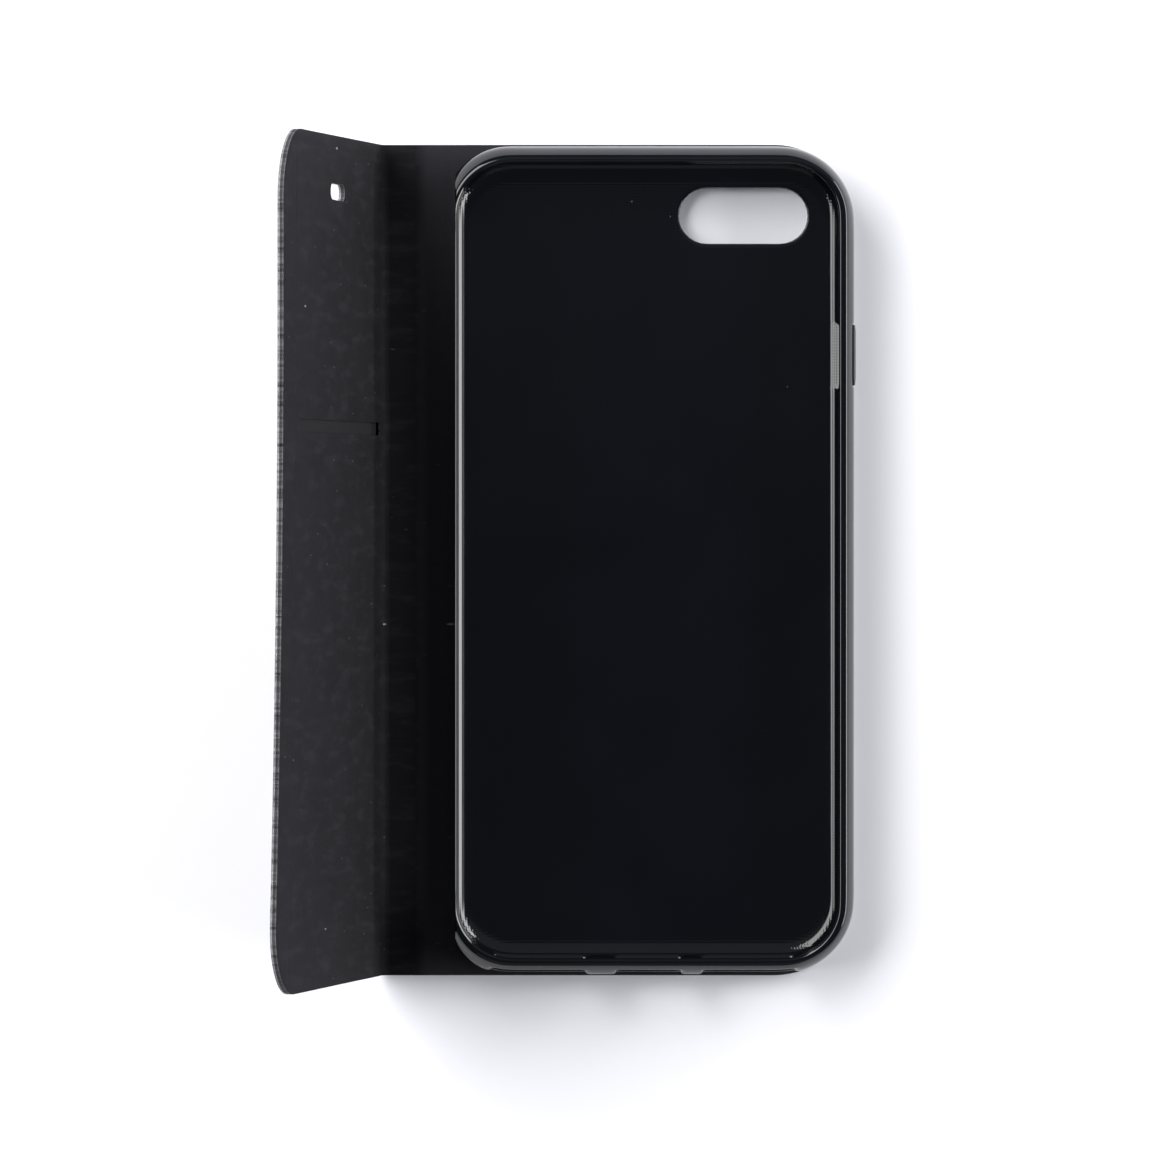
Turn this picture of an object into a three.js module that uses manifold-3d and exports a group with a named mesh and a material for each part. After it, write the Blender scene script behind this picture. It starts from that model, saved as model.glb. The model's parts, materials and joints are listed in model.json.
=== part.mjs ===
// A folio wallet case for a 4.7-inch phone, lying open with its front flap standing up.
// Millimetres. +X runs from the flap to the shell, +Y to the top of the phone, +Z up.

import * as THREE from 'three';
import Module from 'manifold-3d';
import { mergeVertices } from 'three/addons/utils/BufferGeometryUtils.js';

const wasm = await Module();
wasm.setup();

const DEGREE = Math.PI / 180;
const CORNER_STEPS = 12;
const SIDE_STEPS = 10;

// The phone the case holds, which sets every other size.
const phone = { width: 67.1, height: 138.3, thickness: 7.1, cornerRadius: 10.5 };
const phonePlay = 0.2;

// The moulded shell. Its outer wall bulges as an arc between the back and the lip.
const wall = 1.55;
const floorThickness = 1.1;
const lipThickness = 0.9;
const lipOverlap = 0.95;
const bulgeRadius = 9.4;
const bulgeHeight = 4.2;
const leftTrim = 0.55;

// The cover is leather, board and lining, with a film of glue between the layers.
const glue = 0.03;
const leather = 0.45;
const board = 0.41;
const lining = 0.28;
const pocketFilm = 0.08;
const coverThickness = leather + glue + board + glue + lining;
const tapeThickness = 0.15;

// Outline of the cover.
const coverOverhang = 0.4;
const coverCornerRadius = 12;
const spineLength = 12.1;
const flapLength = 70;
const flapAngle = 77.8 * DEGREE;
const shellToFold = 0.8;
const foldRadius = coverThickness / 2;
const foldGap = 0.05;

// Sizes worked out from the ones above.
const cavity = {
  width: phone.width + 2 * phonePlay,
  height: phone.height + 2 * phonePlay,
  depth: phone.thickness + phonePlay,
  cornerRadius: phone.cornerRadius + phonePlay,
};
const shell = {
  width: cavity.width + 2 * wall,
  height: cavity.height + 2 * wall,
  depth: floorThickness + cavity.depth + lipThickness,
  cornerRadius: cavity.cornerRadius + wall,
};
const coverHeight = shell.height + 2 * coverOverhang;
const tapeBottom = coverThickness + glue;
const shellBottom = tapeBottom + tapeThickness + glue;
const cavityMiddle = floorThickness + cavity.depth / 2;

// Openings. Distances run from the middle of the phone.
const camera = { x: 16.3, y: 59.1, length: 22.1, width: 9.6 };
const powerButton = { y: 35.1, length: 10.4, width: 3.2, height: 0.5, recess: 0.5 };
const buttonPlay = 0.08;
const bottomWindows = [
  { x: -19, length: 16 },
  { x: 0, length: 10.6 },
  { x: 16.8, length: 14.6 },
];
const windowBottom = 2.1;
const windowHeight = 5.9;
const earpiece = { length: 10, width: 2.8, fromTop: 9.4, fromFold: 32.5 };
const cardSlot = { fromFold: 4, length: 55, width: 2.2, fromTop: 48.8 };
const pocket = { length: 57, depth: 88 };

function toManifold(geometry) {
  const bare = geometry.clone();
  bare.deleteAttribute('normal');
  bare.deleteAttribute('uv');
  const merged = mergeVertices(bare, 1e-5);
  return new wasm.Manifold(new wasm.Mesh({
    numProp: 3,
    vertProperties: new Float32Array(merged.attributes.position.array),
    triVerts: new Uint32Array(merged.index.array),
  }));
}

function toGeometry(manifold) {
  const mesh = manifold.getMesh();
  const geometry = new THREE.BufferGeometry();
  geometry.setAttribute('position', new THREE.BufferAttribute(new Float32Array(mesh.vertProperties), 3));
  geometry.setIndex(new THREE.BufferAttribute(new Uint32Array(mesh.triVerts), 1));
  return geometry;
}

// A box given by its lowest corner and its highest corner.
function boxBetween(low, high) {
  const size = high.map((value, axis) => value - low[axis]);
  const box = new THREE.BoxGeometry(...size);
  return toManifold(box.translate(...low.map((value, axis) => value + size[axis] / 2)));
}

// A flat outline raised from the height `bottom` to the height `top`.
function slab(outline, bottom, top) {
  const solid = new THREE.ExtrudeGeometry(outline, {
    depth: top - bottom,
    bevelEnabled: false,
    curveSegments: CORNER_STEPS,
  });
  return toManifold(solid.translate(0, 0, bottom));
}

// A rectangle with its left and right corners rounded to two separate radii.
function panelOutline(left, right, height, leftRadius, rightRadius) {
  const top = height / 2;
  const outline = new THREE.Shape();
  outline.moveTo(left + leftRadius, -top);
  outline.lineTo(right - rightRadius, -top);
  if (rightRadius > 0) {
    outline.absarc(right - rightRadius, -top + rightRadius, rightRadius, -Math.PI / 2, 0);
  }
  outline.lineTo(right, top - rightRadius);
  if (rightRadius > 0) {
    outline.absarc(right - rightRadius, top - rightRadius, rightRadius, 0, Math.PI / 2);
  }
  outline.lineTo(left + leftRadius, top);
  if (leftRadius > 0) {
    outline.absarc(left + leftRadius, top - leftRadius, leftRadius, Math.PI / 2, Math.PI);
  }
  outline.lineTo(left, -top + leftRadius);
  if (leftRadius > 0) {
    outline.absarc(left + leftRadius, -top + leftRadius, leftRadius, Math.PI, 1.5 * Math.PI);
  }
  return outline;
}

// A hole with round ends, `length` long in X and `width` wide in Y.
function roundedSlot(x, y, length, width, bottom, top) {
  const outline = panelOutline(-length / 2, length / 2, width, width / 2, width / 2);
  return slab(outline, bottom, top).translate([x, y, 0]);
}

// One level of a rounded body: a rounded rectangle moved inwards by `inset`.
function levelRing(body, { inset, z }) {
  const radius = body.cornerRadius - inset;
  const ring = [];
  for (const [quarter, [sideX, sideY]] of [[1, 1], [-1, 1], [-1, -1], [1, -1]].entries()) {
    const centreX = sideX * (body.width / 2 - body.cornerRadius);
    const centreY = sideY * (body.height / 2 - body.cornerRadius);
    for (let step = 0; step <= CORNER_STEPS; step += 1) {
      const angle = (quarter + step / CORNER_STEPS) * Math.PI / 2;
      ring.push(centreX + radius * Math.cos(angle), centreY + radius * Math.sin(angle), z);
    }
  }
  return ring;
}

// A body whose sides follow a list of levels, from the lowest to the highest.
function roundedBody(body, levels) {
  const rings = levels.map((level) => levelRing(body, level));
  const count = rings[0].length / 3;
  const index = [];
  for (let level = 0; level + 1 < rings.length; level += 1) {
    for (let point = 0; point < count; point += 1) {
      const here = level * count + point;
      const next = level * count + (point + 1) % count;
      index.push(here, next, next + count, here, next + count, here + count);
    }
  }
  const lid = (rings.length - 1) * count;
  for (let point = 1; point + 1 < count; point += 1) {
    index.push(0, point + 1, point, lid, lid + point, lid + point + 1);
  }
  const geometry = new THREE.BufferGeometry();
  geometry.setAttribute('position', new THREE.Float32BufferAttribute(rings.flat(), 3));
  geometry.setIndex(index);
  return toManifold(geometry);
}

// How far an arc about `middle` has come in at the height z.
function arcLevels(radius, middle, bottom, top) {
  const levels = [];
  for (let step = 0; step <= SIDE_STEPS; step += 1) {
    const z = bottom + (top - bottom) * step / SIDE_STEPS;
    levels.push({ inset: radius - Math.sqrt(Math.max(0, radius ** 2 - (z - middle) ** 2)), z });
  }
  return levels;
}

// The space the phone takes: its sides are full half rounds.
function phoneSpace() {
  const radius = cavity.depth / 2;
  const levels = [];
  for (let step = 0; step <= SIDE_STEPS; step += 1) {
    const angle = -Math.PI / 2 + Math.PI * step / SIDE_STEPS;
    levels.push({ inset: radius * (1 - Math.cos(angle)), z: cavityMiddle + radius * Math.sin(angle) });
  }
  return roundedBody(cavity, levels);
}

// The screen opening inside the lip, straight up from the widest part of the phone.
function screenOpening() {
  const body = {
    width: cavity.width - 2 * lipOverlap,
    height: cavity.height - 2 * lipOverlap,
    cornerRadius: cavity.cornerRadius - lipOverlap,
  };
  return roundedBody(body, [{ inset: 0, z: cavityMiddle }, { inset: 0, z: shell.depth + 1 }]);
}

// A stadium lying in the right wall, between two distances from the middle of the phone.
function sidePad(inner, outer, length, width, y) {
  const outline = panelOutline(-width / 2, width / 2, length, width / 2, width / 2);
  const pad = slab(outline, inner, outer);
  return pad.rotate([0, 90, 0]).translate([0, y, cavityMiddle]);
}

// The shell stands on z = 0 with the middle of the phone at x = 0, y = 0.
function shellBody() {
  const outside = roundedBody(shell, arcLevels(bulgeRadius, bulgeHeight, 0, shell.depth));
  const trimPlane = -cavity.width / 2 + leftTrim;
  const kept = boxBetween([trimPlane, -shell.height, -1], [shell.width, shell.height, shell.depth + 1]);
  let body = outside.intersect(kept).subtract(phoneSpace()).subtract(screenOpening());
  body = body.subtract(roundedSlot(camera.x, camera.y, camera.length, camera.width, -1, cavityMiddle));
  for (const { x, length } of bottomWindows) {
    const outline = panelOutline(-length / 2, length / 2, windowHeight, 1.5, 1.5);
    const window = slab(outline, 0, shell.height / 2).rotate([90, 0, 0]);
    body = body.subtract(window.translate([x, 0, windowBottom + windowHeight / 2]));
  }
  const { y, length, width } = powerButton;
  const gap = 2 * buttonPlay;
  return body.subtract(sidePad(0, shell.width, length + gap, width + gap, y));
}

// The moulded pad over the power key, standing a little proud of the wall.
function powerButtonBody() {
  const { y, length, width, height, recess } = powerButton;
  const inner = cavity.width / 2 + recess;
  return sidePad(inner, shell.width / 2 + height, length, width, y);
}

// The patch of double-sided tape that holds the shell on the cover, clear of the camera.
function shellTape() {
  const margin = 5;
  const width = cavity.width - 2 * margin;
  const top = camera.y - camera.width / 2 - margin;
  const height = cavity.height / 2 - margin + top;
  const outline = panelOutline(-width / 2, width / 2, height, margin, margin);
  return slab(outline, 0, tapeThickness).translate([0, top - height / 2, 0]);
}

// One layer of the panel under the shell, from the fold to the right edge.
function backLayer(bottom, thickness) {
  const left = foldRadius + foldGap;
  const right = shellToFold + shell.width - wall - leftTrim - coverOverhang;
  const outline = panelOutline(left, right, coverHeight, 0, coverCornerRadius);
  const cameraX = shellToFold + cavity.width / 2 - leftTrim + camera.x;
  const hole = roundedSlot(cameraX, camera.y, camera.length, camera.width, -1, coverThickness + 1);
  return slab(outline, bottom, bottom + thickness).subtract(hole);
}

// A sheet of the spine seen along Y. It is flat between the folds and turns up round each
// fold, where it meets the sheet from the other side. `side` is -1 below and 1 above.
function spineSkin(thickness, side) {
  const outer = foldRadius;
  const inner = foldRadius - thickness;
  const meeting = glue / 2;
  const boardEnd = foldRadius + glue;
  const endAngle = Math.asin(meeting / outer);
  const outline = new THREE.Shape();
  outline.moveTo(-boardEnd, -inner);
  outline.lineTo(-boardEnd, -meeting);
  outline.lineTo(Math.cos(endAngle) * outer, -meeting);
  outline.absarc(0, 0, outer, -endAngle, -Math.PI / 2, true);
  outline.absarc(-spineLength, 0, outer, -Math.PI / 2, -Math.PI + endAngle, true);
  outline.lineTo(-spineLength + boardEnd, -meeting);
  outline.lineTo(-spineLength + boardEnd, -inner);
  const skin = slab(outline, -coverHeight / 2, coverHeight / 2).rotate([90, 0, 0]);
  return side < 0 ? skin : skin.mirror([0, 0, 1]);
}

// The stiffener between the two sheets of the spine, clear of both folds.
function spineStiffener() {
  const margin = foldRadius + 2 * glue;
  const bottom = -foldRadius + leather + glue;
  return boxBetween(
    [-spineLength + margin, -coverHeight / 2, bottom],
    [-margin, coverHeight / 2, bottom + board],
  );
}

// One layer of the front flap, laid flat with its fold at x = 0 and its free edge at -X.
function flapLayer(bottom, thickness) {
  const outline = panelOutline(-flapLength, -foldRadius - foldGap, coverHeight, coverCornerRadius, 0);
  const y = coverHeight / 2 - earpiece.fromTop;
  const hole = roundedSlot(-earpiece.fromFold, y, earpiece.length, earpiece.width, -1, coverThickness + 1);
  return slab(outline, bottom, bottom + thickness).subtract(hole);
}

// The flap's lining, with the slot that lets a card into the pocket.
function flapLining(bottom) {
  const right = -cardSlot.fromFold;
  const top = coverHeight / 2 - cardSlot.fromTop;
  const slot = boxBetween(
    [right - cardSlot.length, top - cardSlot.width / 2, -1],
    [right, top + cardSlot.width / 2, coverThickness + 1],
  );
  return flapLayer(bottom, lining).subtract(slot);
}

// The bonding film between lining and board. It leaves out the pocket for the card.
function pocketFrame(bottom) {
  const right = -cardSlot.fromFold + (pocket.length - cardSlot.length) / 2;
  const top = coverHeight / 2 - cardSlot.fromTop + cardSlot.width;
  const window = boxBetween(
    [right - pocket.length, top - pocket.depth, -1],
    [right, top, coverThickness + 1],
  );
  return flapLayer(bottom, pocketFilm).subtract(window);
}

const finishes = {
  moulded: { color: 0x0e0f11, roughness: 0.12, metalness: 0 },
  tape: { color: 0xd9d6cc, roughness: 0.6, metalness: 0 },
  leather: { color: 0x19191b, roughness: 0.55, metalness: 0 },
  board: { color: 0x8d8c88, roughness: 0.9, metalness: 0 },
  lining: { color: 0x2f2f32, roughness: 0.85, metalness: 0 },
  film: { color: 0xbab7ae, roughness: 0.7, metalness: 0 },
};

function addPiece(group, name, solid, finish) {
  const mesh = new THREE.Mesh(toGeometry(solid), new THREE.MeshStandardMaterial(finishes[finish]));
  mesh.name = name;
  group.add(mesh);
}

const boardBottom = leather + glue;
const liningBottom = coverThickness - lining;
const filmBottom = liningBottom - glue - pocketFilm;
const flapBoard = filmBottom - glue - boardBottom;

const model = new THREE.Group();
model.name = 'phone_wallet_case';

// The body has its fold axis at x = 0 and the table at z = 0.
const body = new THREE.Group();
body.name = 'body_group';
addPiece(body, 'back_leather', backLayer(0, leather), 'leather');
addPiece(body, 'back_board', backLayer(boardBottom, board), 'board');
addPiece(body, 'back_lining', backLayer(liningBottom, lining), 'lining');
model.add(body);

const shellGroup = new THREE.Group();
shellGroup.name = 'shell_group';
shellGroup.position.set(shellToFold + cavity.width / 2 - leftTrim, 0, shellBottom);
addPiece(shellGroup, 'tpu_shell', shellBody(), 'moulded');
addPiece(shellGroup, 'power_button', powerButtonBody(), 'moulded');
body.add(shellGroup);

const tapeGroup = new THREE.Group();
tapeGroup.name = 'tape_group';
tapeGroup.position.set(shellGroup.position.x, 0, tapeBottom);
addPiece(tapeGroup, 'shell_tape', shellTape(), 'tape');
body.add(tapeGroup);

const spine = new THREE.Group();
spine.name = 'spine_group';
spine.position.z = foldRadius;
addPiece(spine, 'spine_leather', spineSkin(leather, -1), 'leather');
addPiece(spine, 'spine_board', spineStiffener(), 'board');
addPiece(spine, 'spine_lining', spineSkin(lining, 1), 'lining');
model.add(spine);

// The flap turns about the far fold of the spine.
const flap = new THREE.Group();
flap.name = 'flap_group';
flap.position.set(-spineLength, 0, foldRadius);
flap.rotation.y = flapAngle;
addPiece(flap, 'flap_leather', flapLayer(-foldRadius, leather), 'leather');
addPiece(flap, 'flap_board', flapLayer(-foldRadius + boardBottom, flapBoard), 'board');
addPiece(flap, 'pocket_film', pocketFrame(-foldRadius + filmBottom), 'film');
addPiece(flap, 'flap_lining', flapLining(-foldRadius + liningBottom), 'lining');
model.add(flap);

// The origin sits under the middle of the whole case.
model.updateMatrixWorld(true);
const extent = new THREE.Box3().setFromObject(model, true);
model.position.x = -(extent.min.x + extent.max.x) / 2;

export default model;
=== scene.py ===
"""A folio wallet case for a 4.7-inch phone, lying open with its front flap standing up.

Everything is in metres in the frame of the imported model. The cover is four bent sheets over stiff
boards, and the shell is one moulding swept round the outline of the phone.
"""

import json
import math

import bmesh
import bpy
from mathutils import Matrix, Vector, noise
from mathutils.geometry import delaunay_2d_cdt


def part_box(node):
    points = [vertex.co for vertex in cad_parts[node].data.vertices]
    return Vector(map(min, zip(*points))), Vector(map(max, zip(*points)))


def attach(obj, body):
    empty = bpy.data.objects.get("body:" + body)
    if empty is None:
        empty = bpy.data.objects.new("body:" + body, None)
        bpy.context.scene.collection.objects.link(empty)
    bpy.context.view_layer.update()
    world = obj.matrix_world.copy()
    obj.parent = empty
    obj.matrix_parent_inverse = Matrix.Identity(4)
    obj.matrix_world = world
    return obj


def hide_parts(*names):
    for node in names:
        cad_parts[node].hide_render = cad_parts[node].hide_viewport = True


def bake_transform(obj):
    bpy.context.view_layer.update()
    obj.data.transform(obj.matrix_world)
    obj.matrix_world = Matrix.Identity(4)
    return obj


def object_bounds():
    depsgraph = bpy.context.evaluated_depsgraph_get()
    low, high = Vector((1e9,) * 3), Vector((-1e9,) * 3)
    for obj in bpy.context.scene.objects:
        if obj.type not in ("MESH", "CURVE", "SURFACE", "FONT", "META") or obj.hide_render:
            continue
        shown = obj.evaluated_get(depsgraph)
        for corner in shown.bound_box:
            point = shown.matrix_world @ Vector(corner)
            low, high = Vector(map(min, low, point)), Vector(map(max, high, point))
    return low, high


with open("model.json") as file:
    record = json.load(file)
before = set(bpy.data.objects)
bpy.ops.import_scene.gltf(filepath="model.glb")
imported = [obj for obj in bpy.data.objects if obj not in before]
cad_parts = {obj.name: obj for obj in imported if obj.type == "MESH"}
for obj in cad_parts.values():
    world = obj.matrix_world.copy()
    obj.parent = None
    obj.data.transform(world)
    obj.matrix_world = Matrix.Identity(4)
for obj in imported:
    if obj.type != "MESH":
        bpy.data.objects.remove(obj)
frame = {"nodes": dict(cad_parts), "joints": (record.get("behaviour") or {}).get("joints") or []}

MM = 0.001
cad_low, cad_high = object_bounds()


def joint_place(name):
    """The place of a joint at rest."""
    return Vector(next(j["pos_m"] for j in frame["joints"] if j["name"] == name))


# ---------------------------------------------------------------- sizes taken from the frame
SPINE_FOLD = joint_place("spine_fold")
FLAP_FOLD = joint_place("flap_fold")
SPINE_LENGTH = SPINE_FOLD.x - FLAP_FOLD.x
SPINE_MIDDLE = SPINE_LENGTH / 2
COVER_MIDDLE = SPINE_FOLD.z
COVER_HALF = COVER_MIDDLE
BACK_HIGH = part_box("back_lining")[1]
SHELL_LOW, SHELL_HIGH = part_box("tpu_shell")
BUTTON_LOW, BUTTON_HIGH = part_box("power_button")
HALF_HEIGHT = BACK_HIGH.y
BACK_WIDTH = BACK_HIGH.x - SPINE_FOLD.x

# The cover's sizes that a box of a piece doesn't show. The flap stands at an angle to the table,
# and its openings are placed from the top of the cover and from the flap's fold.
FLAP_LENGTH = 70 * MM
FLAP_ANGLE = math.radians(77.8)
BACK_CORNER = 13.2 * MM
FLAP_CORNER = 12 * MM
EARPIECE = {"length": 10 * MM, "width": 2.8 * MM, "from_top": 9.4 * MM, "from_fold": 32.5 * MM}
CARD_SLOT = {"length": 55 * MM, "width": 2.2 * MM, "from_top": 48.8 * MM, "from_fold": 4 * MM}
SLOT_Y = HALF_HEIGHT - CARD_SLOT["from_top"]
POCKET = {"length": 57 * MM, "depth": 88 * MM}

# The shell's sizes. Distances run from the middle of the phone and up from the shell's underside.
# The cover folds round the left side, so that side is cut back by LEFT_CUT. The bottom windows
# are (middle, length).
WALL = 1.55 * MM
LEFT_CUT = 2.1 * MM
RIGHT_DRAFT = 0.12 * MM
FLOOR = 1.1 * MM
LIP_INSET = 2.5 * MM
SHELL_WIDTH = SHELL_HIGH.x - RIGHT_DRAFT - SHELL_LOW.x + LEFT_CUT
PHONE_X = SHELL_LOW.x - LEFT_CUT + SHELL_WIDTH / 2
SHELL_HALF_X = SHELL_WIDTH / 2
SHELL_HALF_Y = SHELL_HIGH.y
SHELL_CORNER = 12.25 * MM
SHELL_Z = SHELL_LOW.z
LIP_RELIEF = 0.15 * MM
SHELL_DEPTH = SHELL_HIGH.z - SHELL_LOW.z - LIP_RELIEF
CAVITY_RADIUS = 3.65 * MM
CAVITY_MIDDLE = FLOOR + CAVITY_RADIUS
BULGE_RADIUS = 9.4 * MM
BULGE_MIDDLE = 4.2 * MM
CAMERA_HOLE = Vector((16.3 * MM, 59.1 * MM))
CAMERA_LENGTH = 22.1 * MM
CAMERA_WIDTH = 9.6 * MM
BOTTOM_WINDOWS = [(-19 * MM, 16 * MM), (0, 10.6 * MM), (16.8 * MM, 14.6 * MM)]
BUTTON_Y = (BUTTON_LOW.y + BUTTON_HIGH.y) / 2
BUTTON_HALF = (BUTTON_HIGH.y - BUTTON_LOW.y) / 2

# Layers of the cover, as the heights of their two faces above its middle surface.
LEATHER = (-0.60 * MM, -0.15 * MM)
BOARD = (-0.15 * MM, 0.30 * MM)
FLAP_BOARD = (-0.15 * MM, 0.18 * MM)
POCKET_FILM = (0.18 * MM, 0.30 * MM)
LINING = (0.30 * MM, 0.60 * MM)


# ---------------------------------------------------------------- materials
class Nodes:
    """A new material with a few short ways to add nodes to it. Scales are in features a metre."""

    def __init__(self, name, **settings):
        self.material = bpy.data.materials.new(name)
        self.material.use_nodes = True
        self.tree = self.material.node_tree
        self.shader = self.tree.nodes["Principled BSDF"]
        for socket, value in settings.items():
            self.shader.inputs[socket.replace("_", " ")].default_value = value

    def add(self, kind, inputs=None, **settings):
        node = self.tree.nodes.new(f"ShaderNode{kind}")
        for key, value in settings.items():
            setattr(node, key, value)
        for key, value in (inputs or {}).items():
            self.put(node.inputs[key], value)
        return node

    def put(self, socket, value):
        if isinstance(value, bpy.types.NodeSocket):
            self.tree.links.new(value, socket)
        else:
            socket.default_value = value

    def math(self, operation, first, second=0.0):
        return self.add("Math", {0: first, 1: second}, operation=operation).outputs[0]

    def noise(self, vector, scale, detail=3.0, roughness=0.5):
        inputs = {"Vector": vector, "Scale": scale, "Detail": detail, "Roughness": roughness}
        return self.add("TexNoise", inputs).outputs["Fac"]

    def cells(self, vector, scale, feature="F1", output="Distance", **inputs):
        inputs = {"Vector": vector, "Scale": scale, **inputs}
        return self.add("TexVoronoi", inputs, feature=feature).outputs[output]

    def stretch(self, vector, scale, turn=0.0):
        inputs = {"Vector": vector, "Scale": scale, "Rotation": (0.0, 0.0, turn)}
        return self.add("Mapping", inputs).outputs["Vector"]

    def remap(self, value, from_low, from_high, to_low=0.0, to_high=1.0):
        inputs = {"Value": value, "From Min": from_low, "From Max": from_high,
                  "To Min": to_low, "To Max": to_high}
        return self.add("MapRange", inputs).outputs["Result"]

    def mix(self, factor, first, second):
        node = self.add("Mix", data_type="RGBA")
        self.put(node.inputs["Factor"], factor)
        self.put(node.inputs["A"], first)
        self.put(node.inputs["B"], second)
        return node.outputs["Result"]

    def specks(self, vector, scale, size, share):
        """A mask of sparse round specks: 1 on a speck. The size is a share of the spacing."""
        lot = self.add("SeparateXYZ", {"Vector": self.cells(vector, scale, output="Color")})
        chosen = self.math("GREATER_THAN", lot.outputs["X"], 1 - share)
        near = self.remap(self.cells(vector, scale), size, size * 0.6)
        return self.math("MULTIPLY", chosen, near)

    def bump(self, height, distance, strength=1.0, under=None):
        node = self.add("Bump", {"Height": height, "Distance": distance, "Strength": strength})
        if under is not None:
            self.put(node.inputs["Normal"], under)
        return node.outputs["Normal"]

    def finish(self, **links):
        for socket, value in links.items():
            self.put(self.shader.inputs[socket.replace("_", " ")], value)
        return self.material


def grey(value, tint=0.04):
    """A dark neutral that leans a little to blue."""
    return (value, value * (1 - tint), value * (1 + 3 * tint), 1.0)


def flat_vector(m):
    """Places on the flat cut of a sheet, in metres."""
    return m.add("UVMap", uv_map="flat").outputs["UV"]


def object_vector(m):
    return m.add("TexCoord").outputs["Object"]


def leather_material():
    """Black leathercloth with a fine pebbled grain and paler tops."""
    m = Nodes("leather", Specular_IOR_Level=0.32)
    place = flat_vector(m)
    pebble = m.cells(place, 1500.0, feature="SMOOTH_F1")
    crease = m.cells(place, 650.0, feature="DISTANCE_TO_EDGE")
    fine = m.noise(place, 5200.0)
    tone = m.noise(place, 55.0, detail=4.0)
    colour = m.mix(m.remap(tone, 0.35, 0.65), grey(0.0105), grey(0.0165))
    worn = m.remap(pebble, 0.1, 0.6, 0.35, 0.0)
    colour = m.mix(worn, colour, grey(0.028))
    height = m.math("ADD", m.math("MULTIPLY", pebble, -0.6), m.math("MULTIPLY", fine, 0.25))
    normal = m.bump(height, 0.05 * MM, 0.8)
    normal = m.bump(m.remap(crease, 0.0, 0.12), 0.04 * MM, 0.5, normal)
    rough = m.remap(m.math("ADD", tone, m.math("MULTIPLY", fine, 0.3)), 0.4, 0.9, 0.48, 0.60)
    return m.finish(Base_Color=colour, Roughness=rough, Normal=normal)


def lining_material(name, pale, painted_light_full_at, painted_light_start_at):
    """Matt charcoal microfibre with faint clouds, brushed smears and specks of lint. It grows paler
    from one distance from the fold to another: painted light and shade for the shell's shadow."""
    m = Nodes(name, Specular_IOR_Level=0.03, Sheen_Weight=0.008, Sheen_Roughness=0.5)
    place = flat_vector(m)
    nap = m.noise(place, 6500.0, detail=4.0, roughness=0.65)
    cloud = m.noise(place, 85.0, detail=5.0, roughness=0.6)
    smear = m.noise(m.stretch(place, (110.0, 430.0, 1.0), 0.2), 1.0, detail=5.0, roughness=0.65)
    along = m.add("SeparateXYZ", {"Vector": place}).outputs["X"]
    colour = m.mix(m.remap(cloud, 0.3, 0.7), grey(0.0102), grey(0.0140))
    # Painted light and shade: a paler tone between the two distances, for the shade the shell casts.
    colour = m.mix(m.remap(along, painted_light_start_at, painted_light_full_at, 0.0, 0.35), colour, grey(pale))
    colour = m.mix(m.remap(smear, 0.50, 0.68, 0.0, 0.6), colour, grey(0.026))
    colour = m.mix(m.remap(nap, 0.35, 0.65, 0.0, 0.3), colour, grey(0.010))
    lint = m.stretch(place, (0.3, 1.0, 1.0))
    colour = m.mix(m.specks(lint, 1500.0, 0.26, 0.02), colour, grey(0.045))
    colour = m.mix(m.specks(lint, 600.0, 0.14, 0.012), colour, grey(0.2))
    normal = m.bump(nap, 0.04 * MM, 0.6)
    normal = m.bump(smear, 0.05 * MM, 0.4, normal)
    rough = m.remap(cloud, 0.3, 0.7, 0.66, 0.8)
    return m.finish(Base_Color=colour, Roughness=rough, Normal=normal)


def cut_edge_material(name, dark, light):
    """The fibrous cut edge of a layer of the cover."""
    m = Nodes(name, Specular_IOR_Level=0.15)
    place = flat_vector(m)
    fibre = m.noise(place, 3000.0, detail=4.0, roughness=0.7)
    patch = m.noise(place, 1100.0, detail=2.0)
    fleck = m.math("ADD", m.math("MULTIPLY", fibre, 0.5), m.math("MULTIPLY", patch, 0.5))
    colour = m.mix(m.remap(fleck, 0.4, 0.6), grey(dark, 0.02), grey(light, 0.01))
    normal = m.bump(fibre, 0.06 * MM, 0.7)
    return m.finish(Base_Color=colour, Roughness=m.remap(fibre, 0.3, 0.7, 0.7, 0.95), Normal=normal)


def board_material():
    """The dark paper face of the boards."""
    m = Nodes("board_face", Specular_IOR_Level=0.12)
    place = flat_vector(m)
    fibre = m.noise(place, 3000.0, detail=4.0, roughness=0.7)
    colour = m.mix(m.remap(fibre, 0.35, 0.65), grey(0.0105), grey(0.0150))
    return m.finish(Base_Color=colour, Roughness=m.remap(fibre, 0.3, 0.7, 0.75, 0.95),
                    Normal=m.bump(fibre, 0.03 * MM, 0.5))


def shell_material(name, dotted):
    """Gloss moulded plastic with faint flow marks, hairline scuffs and settled dust.
    The inner face carries the fine dots that keep it from clinging to the phone."""
    m = Nodes(name, Specular_IOR_Level=0.5)
    place = object_vector(m)
    flow = m.noise(place, 60.0, detail=4.0)
    skin = m.noise(place, 900.0, detail=3.0)
    scuff = m.noise(m.stretch(place, (2600.0, 160.0, 900.0), 0.5), 1.0, detail=2.0)
    colour = m.mix(m.remap(flow, 0.35, 0.65), (0.0014, 0.0020, 0.0034, 1), (0.0020, 0.0028, 0.0044, 1))
    colour = m.mix(m.specks(place, 300.0, 0.06, 0.05), colour, grey(0.1))
    rough = m.math("ADD", m.remap(flow, 0.3, 0.7, 0.06, 0.10), m.remap(scuff, 0.68, 0.8, 0.0, 0.1))
    normal = m.bump(skin, 0.01 * MM, 0.2)
    if dotted:
        dots = m.cells(place, 1 / (0.5 * MM), Randomness=0.0)
        normal = m.bump(m.remap(dots, 0.2, 0.5, 1.0, 0.0), 0.018 * MM, 0.8, normal)
    return m.finish(Base_Color=colour, Roughness=rough, Normal=normal)


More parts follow.
